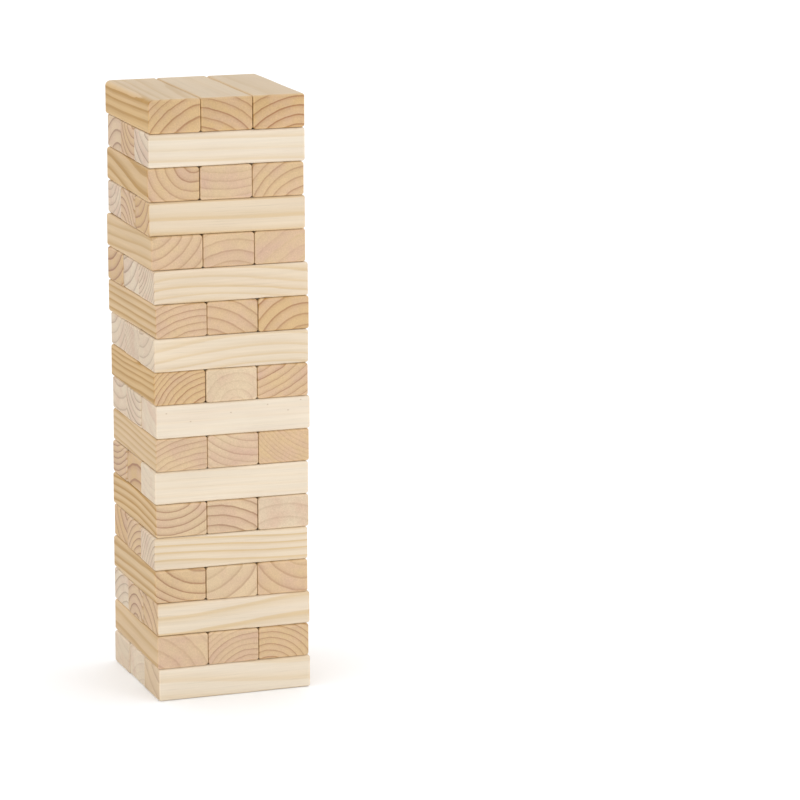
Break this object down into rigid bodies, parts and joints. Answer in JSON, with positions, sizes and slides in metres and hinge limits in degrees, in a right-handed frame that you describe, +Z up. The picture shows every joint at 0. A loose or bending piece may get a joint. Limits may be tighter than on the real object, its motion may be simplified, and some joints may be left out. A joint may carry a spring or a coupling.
{
  "type": "giant tumbling tower",
  "caption": "Tall free-standing tower of plain pine blocks laid in crosswise layers, each block sliding out along its own length, for a balancing game.",
  "frame": {"origin": "middle of the footprint, on the ground", "axes": "+Z up the tower; -Y is the front, where the bottom layer shows its long side; +X is to the right"},
  "size_m": [0.1848, 0.187, 0.684],
  "materials": {
    "pine": "matte"
  },
  "bodies": {
    "block_01_front": {"block_01_front": "pine"},
    "block_01_middle": {"block_01_middle": "pine"},
    "block_01_back": {"block_01_back": "pine"},
    "block_02_left": {"block_02_left": "pine"},
    "block_02_middle": {"block_02_middle": "pine"},
    "block_02_right": {"block_02_right": "pine"},
    "block_03_front": {"block_03_front": "pine"},
    "block_03_middle": {"block_03_middle": "pine"},
    "block_03_back": {"block_03_back": "pine"},
    "block_04_left": {"block_04_left": "pine"},
    "block_04_middle": {"block_04_middle": "pine"},
    "block_04_right": {"block_04_right": "pine"},
    "block_05_front": {"block_05_front": "pine"},
    "block_05_middle": {"block_05_middle": "pine"},
    "block_05_back": {"block_05_back": "pine"},
    "block_06_left": {"block_06_left": "pine"},
    "block_06_middle": {"block_06_middle": "pine"},
    "block_06_right": {"block_06_right": "pine"},
    "block_07_front": {"block_07_front": "pine"},
    "block_07_middle": {"block_07_middle": "pine"},
    "block_07_back": {"block_07_back": "pine"},
    "block_08_left": {"block_08_left": "pine"},
    "block_08_middle": {"block_08_middle": "pine"},
    "block_08_right": {"block_08_right": "pine"},
    "block_09_front": {"block_09_front": "pine"},
    "block_09_middle": {"block_09_middle": "pine"},
    "block_09_back": {"block_09_back": "pine"},
    "block_10_left": {"block_10_left": "pine"},
    "block_10_middle": {"block_10_middle": "pine"},
    "block_10_right": {"block_10_right": "pine"},
    "block_11_front": {"block_11_front": "pine"},
    "block_11_middle": {"block_11_middle": "pine"},
    "block_11_back": {"block_11_back": "pine"},
    "block_12_left": {"block_12_left": "pine"},
    "block_12_middle": {"block_12_middle": "pine"},
    "block_12_right": {"block_12_right": "pine"},
    "block_13_front": {"block_13_front": "pine"},
    "block_13_middle": {"block_13_middle": "pine"},
    "block_13_back": {"block_13_back": "pine"},
    "block_14_left": {"block_14_left": "pine"},
    "block_14_middle": {"block_14_middle": "pine"},
    "block_14_right": {"block_14_right": "pine"},
    "block_15_front": {"block_15_front": "pine"},
    "block_15_middle": {"block_15_middle": "pine"},
    "block_15_back": {"block_15_back": "pine"},
    "block_16_left": {"block_16_left": "pine"},
    "block_16_middle": {"block_16_middle": "pine"},
    "block_16_right": {"block_16_right": "pine"},
    "block_17_front": {"block_17_front": "pine"},
    "block_17_middle": {"block_17_middle": "pine"},
    "block_17_back": {"block_17_back": "pine"},
    "block_18_left": {"block_18_left": "pine"},
    "block_18_middle": {"block_18_middle": "pine"},
    "block_18_right": {"block_18_right": "pine"}
  },
  "joints": [
    {"name": "slide_01_front", "type": "slide", "parent": "block_01_middle", "child": "block_01_front", "axis": [1, 0.0087, 0], "range_m": [-0.19, 0.19]},
    {"name": "slide_01_back", "type": "slide", "parent": "block_01_middle", "child": "block_01_back", "axis": [1, 0.0087, 0], "range_m": [-0.19, 0.19]},
    {"name": "slide_02_left", "type": "slide", "parent": "block_01_middle", "child": "block_02_left", "axis": [0, 1, 0], "range_m": [-0.19, 0.19]},
    {"name": "slide_02_middle", "type": "slide", "parent": "block_01_middle", "child": "block_02_middle", "axis": [0, 1, 0], "range_m": [-0.19, 0.19]},
    {"name": "slide_02_right", "type": "slide", "parent": "block_01_middle", "child": "block_02_right", "axis": [0, 1, 0], "range_m": [-0.19, 0.19]},
    {"name": "slide_03_front", "type": "slide", "parent": "block_01_middle", "child": "block_03_front", "axis": [1, 0, 0], "range_m": [-0.19, 0.19]},
    {"name": "slide_03_middle", "type": "slide", "parent": "block_01_middle", "child": "block_03_middle", "axis": [1, 0, 0], "range_m": [-0.19, 0.19]},
    {"name": "slide_03_back", "type": "slide", "parent": "block_01_middle", "child": "block_03_back", "axis": [1, 0, 0], "range_m": [-0.19, 0.19]},
    {"name": "slide_04_left", "type": "slide", "parent": "block_01_middle", "child": "block_04_left", "axis": [0.0087, 1, 0], "range_m": [-0.19, 0.19]},
    {"name": "slide_04_middle", "type": "slide", "parent": "block_01_middle", "child": "block_04_middle", "axis": [0.0087, 1, 0], "range_m": [-0.19, 0.19]},
    {"name": "slide_04_right", "type": "slide", "parent": "block_01_middle", "child": "block_04_right", "axis": [0.0087, 1, 0], "range_m": [-0.19, 0.19]},
    {"name": "slide_05_front", "type": "slide", "parent": "block_01_middle", "child": "block_05_front", "axis": [1, -0.0087, 0], "range_m": [-0.19, 0.19]},
    {"name": "slide_05_middle", "type": "slide", "parent": "block_01_middle", "child": "block_05_middle", "axis": [1, -0.0087, 0], "range_m": [-0.19, 0.19]},
    {"name": "slide_05_back", "type": "slide", "parent": "block_01_middle", "child": "block_05_back", "axis": [1, -0.0087, 0], "range_m": [-0.19, 0.19]},
    {"name": "slide_06_left", "type": "slide", "parent": "block_01_middle", "child": "block_06_left", "axis": [0, 1, 0], "range_m": [-0.19, 0.19]},
    {"name": "slide_06_middle", "type": "slide", "parent": "block_01_middle", "child": "block_06_middle", "axis": [0, 1, 0], "range_m": [-0.19, 0.19]},
    {"name": "slide_06_right", "type": "slide", "parent": "block_01_middle", "child": "block_06_right", "axis": [0, 1, 0], "range_m": [-0.19, 0.19]},
    {"name": "slide_07_front", "type": "slide", "parent": "block_01_middle", "child": "block_07_front", "axis": [1, -0.0087, 0], "range_m": [-0.19, 0.19]},
    {"name": "slide_07_middle", "type": "slide", "parent": "block_01_middle", "child": "block_07_middle", "axis": [1, -0.0087, 0], "range_m": [-0.19, 0.19]},
    {"name": "slide_07_back", "type": "slide", "parent": "block_01_middle", "child": "block_07_back", "axis": [1, -0.0087, 0], "range_m": [-0.19, 0.19]},
    {"name": "slide_08_left", "type": "slide", "parent": "block_01_middle", "child": "block_08_left", "axis": [0, 1, 0], "range_m": [-0.19, 0.19]},
    {"name": "slide_08_middle", "type": "slide", "parent": "block_01_middle", "child": "block_08_middle", "axis": [0, 1, 0], "range_m": [-0.19, 0.19]},
    {"name": "slide_08_right", "type": "slide", "parent": "block_01_middle", "child": "block_08_right", "axis": [0, 1, 0], "range_m": [-0.19, 0.19]},
    {"name": "slide_09_front", "type": "slide", "parent": "block_01_middle", "child": "block_09_front", "axis": [1, 0, 0], "range_m": [-0.19, 0.19]},
    {"name": "slide_09_middle", "type": "slide", "parent": "block_01_middle", "child": "block_09_middle", "axis": [1, 0, 0], "range_m": [-0.19, 0.19]},
    {"name": "slide_09_back", "type": "slide", "parent": "block_01_middle", "child": "block_09_back", "axis": [1, 0, 0], "range_m": [-0.19, 0.19]},
    {"name": "slide_10_left", "type": "slide", "parent": "block_01_middle", "child": "block_10_left", "axis": [0, 1, 0], "range_m": [-0.19, 0.19]},
    {"name": "slide_10_middle", "type": "slide", "parent": "block_01_middle", "child": "block_10_middle", "axis": [0, 1, 0], "range_m": [-0.19, 0.19]},
    {"name": "slide_10_right", "type": "slide", "parent": "block_01_middle", "child": "block_10_right", "axis": [0, 1, 0], "range_m": [-0.19, 0.19]},
    {"name": "slide_11_front", "type": "slide", "parent": "block_01_middle", "child": "block_11_front", "axis": [1, 0.0087, 0], "range_m": [-0.19, 0.19]},
    {"name": "slide_11_middle", "type": "slide", "parent": "block_01_middle", "child": "block_11_middle", "axis": [1, 0.0087, 0], "range_m": [-0.19, 0.19]},
    {"name": "slide_11_back", "type": "slide", "parent": "block_01_middle", "child": "block_11_back", "axis": [1, 0.0087, 0], "range_m": [-0.19, 0.19]},
    {"name": "slide_12_left", "type": "slide", "parent": "block_01_middle", "child": "block_12_left", "axis": [-0.0262, 0.9997, 0], "range_m": [-0.19, 0.19]},
    {"name": "slide_12_middle", "type": "slide", "parent": "block_01_middle", "child": "block_12_middle", "axis": [-0.0262, 0.9997, 0], "range_m": [-0.19, 0.19]},
    {"name": "slide_12_right", "type": "slide", "parent": "block_01_middle", "child": "block_12_right", "axis": [-0.0262, 0.9997, 0], "range_m": [-0.19, 0.19]},
    {"name": "slide_13_front", "type": "slide", "parent": "block_01_middle", "child": "block_13_front", "axis": [0.9998, 0.0175, 0], "range_m": [-0.19, 0.19]},
    {"name": "slide_13_middle", "type": "slide", "parent": "block_01_middle", "child": "block_13_middle", "axis": [0.9998, 0.0175, 0], "range_m": [-0.19, 0.19]},
    {"name": "slide_13_back", "type": "slide", "parent": "block_01_middle", "child": "block_13_back", "axis": [0.9998, 0.0175, 0], "range_m": [-0.19, 0.19]},
    {"name": "slide_14_left", "type": "slide", "parent": "block_01_middle", "child": "block_14_left", "axis": [-0.0087, 1, 0], "range_m": [-0.19, 0.19]},
    {"name": "slide_14_middle", "type": "slide", "parent": "block_01_middle", "child": "block_14_middle", "axis": [-0.0087, 1, 0], "range_m": [-0.19, 0.19]},
    {"name": "slide_14_right", "type": "slide", "parent": "block_01_middle", "child": "block_14_right", "axis": [-0.0087, 1, 0], "range_m": [-0.19, 0.19]},
    {"name": "slide_15_front", "type": "slide", "parent": "block_01_middle", "child": "block_15_front", "axis": [0.9998, -0.0175, 0], "range_m": [-0.19, 0.19]},
    {"name": "slide_15_middle", "type": "slide", "parent": "block_01_middle", "child": "block_15_middle", "axis": [0.9998, -0.0175, 0], "range_m": [-0.19, 0.19]},
    {"name": "slide_15_back", "type": "slide", "parent": "block_01_middle", "child": "block_15_back", "axis": [0.9998, -0.0175, 0], "range_m": [-0.19, 0.19]},
    {"name": "slide_16_left", "type": "slide", "parent": "block_01_middle", "child": "block_16_left", "axis": [0.0175, 0.9998, 0], "range_m": [-0.19, 0.19]},
    {"name": "slide_16_middle", "type": "slide", "parent": "block_01_middle", "child": "block_16_middle", "axis": [0.0175, 0.9998, 0], "range_m": [-0.19, 0.19]},
    {"name": "slide_16_right", "type": "slide", "parent": "block_01_middle", "child": "block_16_right", "axis": [0.0175, 0.9998, 0], "range_m": [-0.19, 0.19]},
    {"name": "slide_17_front", "type": "slide", "parent": "block_01_middle", "child": "block_17_front", "axis": [1, -0.0087, 0], "range_m": [-0.19, 0.19]},
    {"name": "slide_17_middle", "type": "slide", "parent": "block_01_middle", "child": "block_17_middle", "axis": [1, -0.0087, 0], "range_m": [-0.19, 0.19]},
    {"name": "slide_17_back", "type": "slide", "parent": "block_01_middle", "child": "block_17_back", "axis": [1, -0.0087, 0], "range_m": [-0.19, 0.19]},
    {"name": "lift_18_left", "type": "slide", "parent": "block_01_middle", "child": "block_18_left", "axis": [0, 0, 1], "range_m": [0, 0.06]},
    {"name": "lift_18_middle", "type": "slide", "parent": "block_01_middle", "child": "block_18_middle", "axis": [0, 0, 1], "range_m": [0, 0.06]},
    {"name": "lift_18_right", "type": "slide", "parent": "block_01_middle", "child": "block_18_right", "axis": [0, 0, 1], "range_m": [0, 0.06]}
  ]
}
